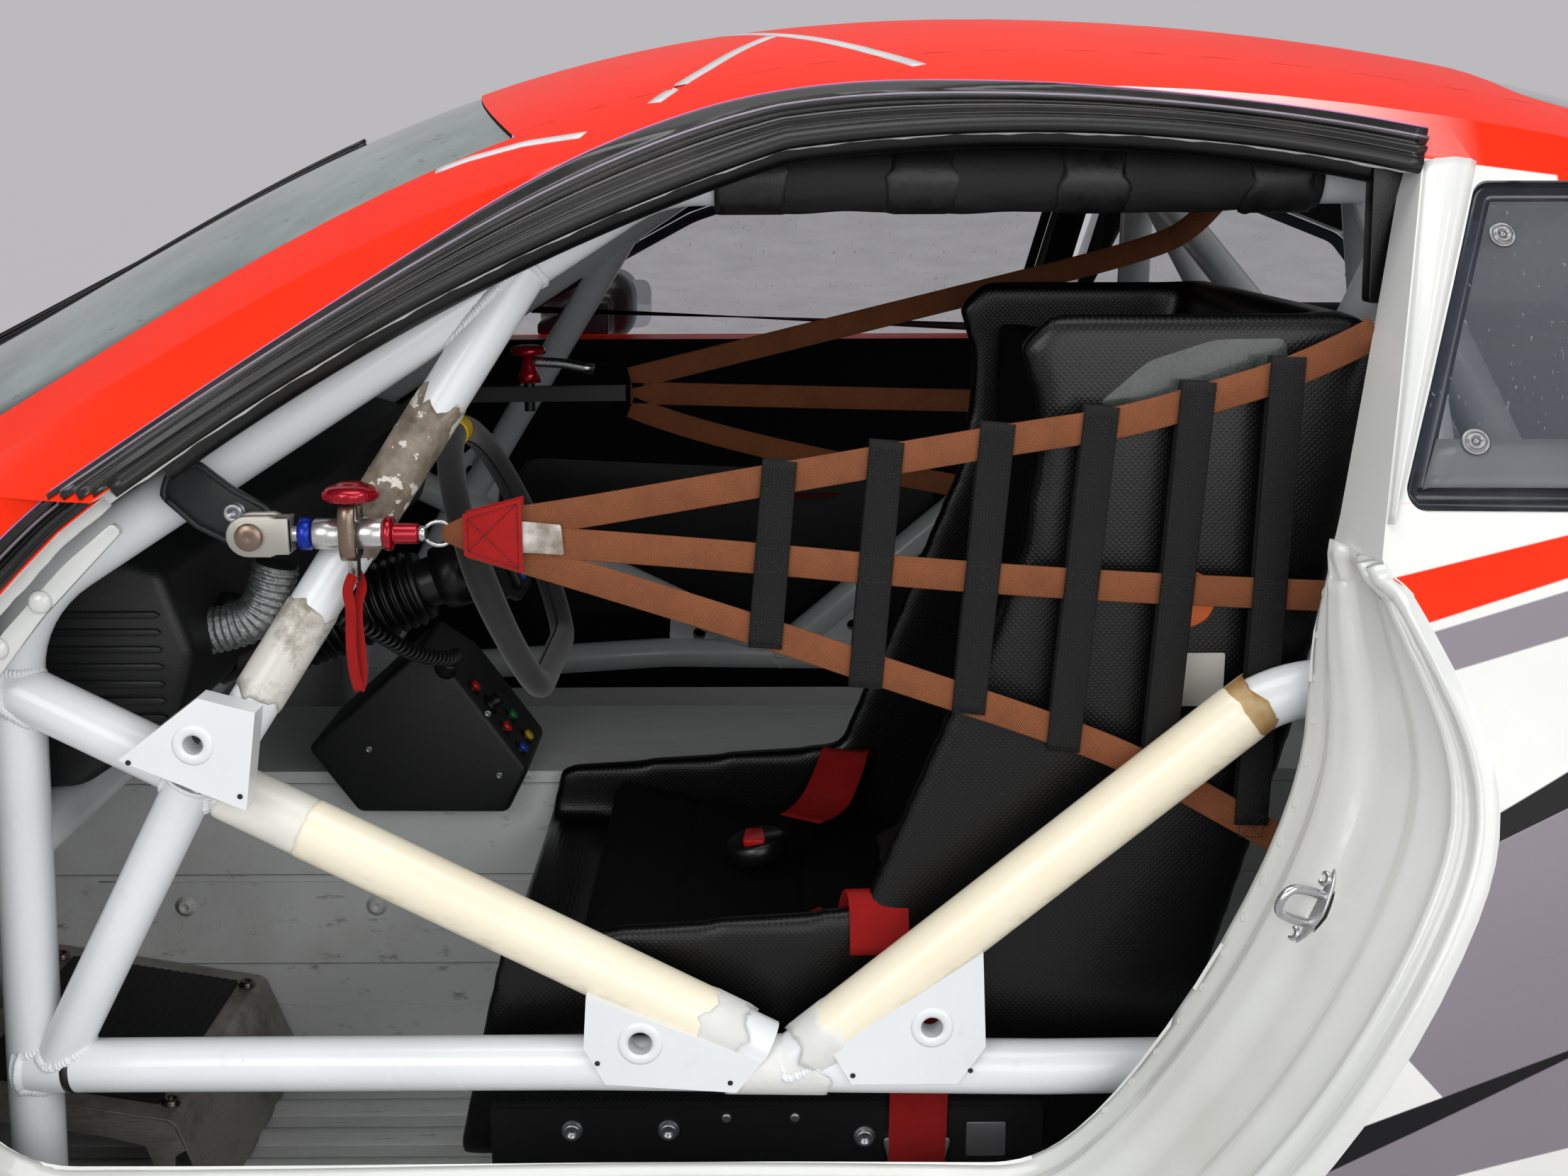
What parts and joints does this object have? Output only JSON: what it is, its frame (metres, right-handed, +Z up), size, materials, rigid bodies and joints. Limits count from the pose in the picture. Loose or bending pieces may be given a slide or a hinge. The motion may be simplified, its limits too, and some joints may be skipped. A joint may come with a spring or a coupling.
{
  "type": "race car cabin section",
  "caption": "Centre section of a closed race car's body: cabin with roll cage, bucket seat, belts, window net with quick release, steering wheel, dashboard and a hinged door.",
  "frame": {"origin": "underside of the floor on the centre line, level with the middle of the driver's door opening", "axes": "+X rearward, +Y to the passenger's side (right), +Z up"},
  "size_m": [2.06, 1.8642, 1.1922],
  "materials": {
    "body_paint": "satin orange red with white lines",
    "inner_paint": "gloss white",
    "clear_glass": "clear with a dark border",
    "cage_paint": "gloss white, worn where it was taped",
    "black_foam": "closed-cell foam under cloth tape",
    "seat_carbon": "woven carbon",
    "seat_cloth": "black knit",
    "black_steel": "satin black",
    "red_webbing": "woven belt",
    "black_plastic": "grained",
    "foil": "corrugated foil",
    "net_webbing": "woven, sun-faded brown with black uprights",
    "bare_metal": "machined",
    "wheel_grip": "black suede grip on an aluminium plate"
  },
  "bodies": {
    "root": {"floor_pan": "inner_paint", "side_frame_left": "body_paint", "side_frame_right": "body_paint", "front_bulkhead": "body_paint", "rear_bulkhead": "body_paint", "roof_skin": "body_paint", "windscreen": "clear_glass", "rear_window": "clear_glass", "quarter_window_left": "clear_glass", "quarter_window_right": "clear_glass", "centre_tunnel": "inner_paint", "rear_shelf": "inner_paint", "cage_main_hoop": "cage_paint", "cage_leg_left": "cage_paint", "cage_leg_right": "cage_paint", "cage_door_bars_left": "cage_paint", "cage_door_bars_right": "cage_paint", "cage_cross_bars": "cage_paint", "cage_rear_stays": "cage_paint", "cage_padding": "black_foam", "seat_shell": "seat_carbon", "seat_base_cushion": "seat_cloth", "seat_back_cushion": "seat_cloth", "seat_head_pads": "seat_cloth", "seat_brackets": "black_steel", "harness_belts": "red_webbing", "dashboard": "black_plastic", "steering_column": "black_steel", "switch_panel": "black_plastic", "air_duct": "foil", "foot_board": "black_plastic", "curly_lead": "black_plastic", "window_net": "net_webbing", "net_latch": "bare_metal", "net_bracket": "black_steel", "centre_net": "net_webbing", "centre_net_latch": "black_steel", "wiper": "black_plastic", "door_striker": "bare_metal"},
    "right_door": {"right_door": "body_paint", "right_door_window": "clear_glass", "right_mirror": "black_plastic"},
    "steering_wheel": {"steering_wheel": "wheel_grip"}
  },
  "joints": [
    {"name": "right_door", "type": "hinge", "parent": "root", "child": "right_door", "pos_m": [-0.682, 0.89, 0.45], "axis": [0, 0, 1], "range_deg": [0, 65]},
    {"name": "steering_wheel", "type": "hinge", "parent": "root", "child": "steering_wheel", "pos_m": [-0.243, -0.36, 0.687], "axis": [0.9373, 0, 0.3486], "range_deg": [-450, 450]}
  ]
}
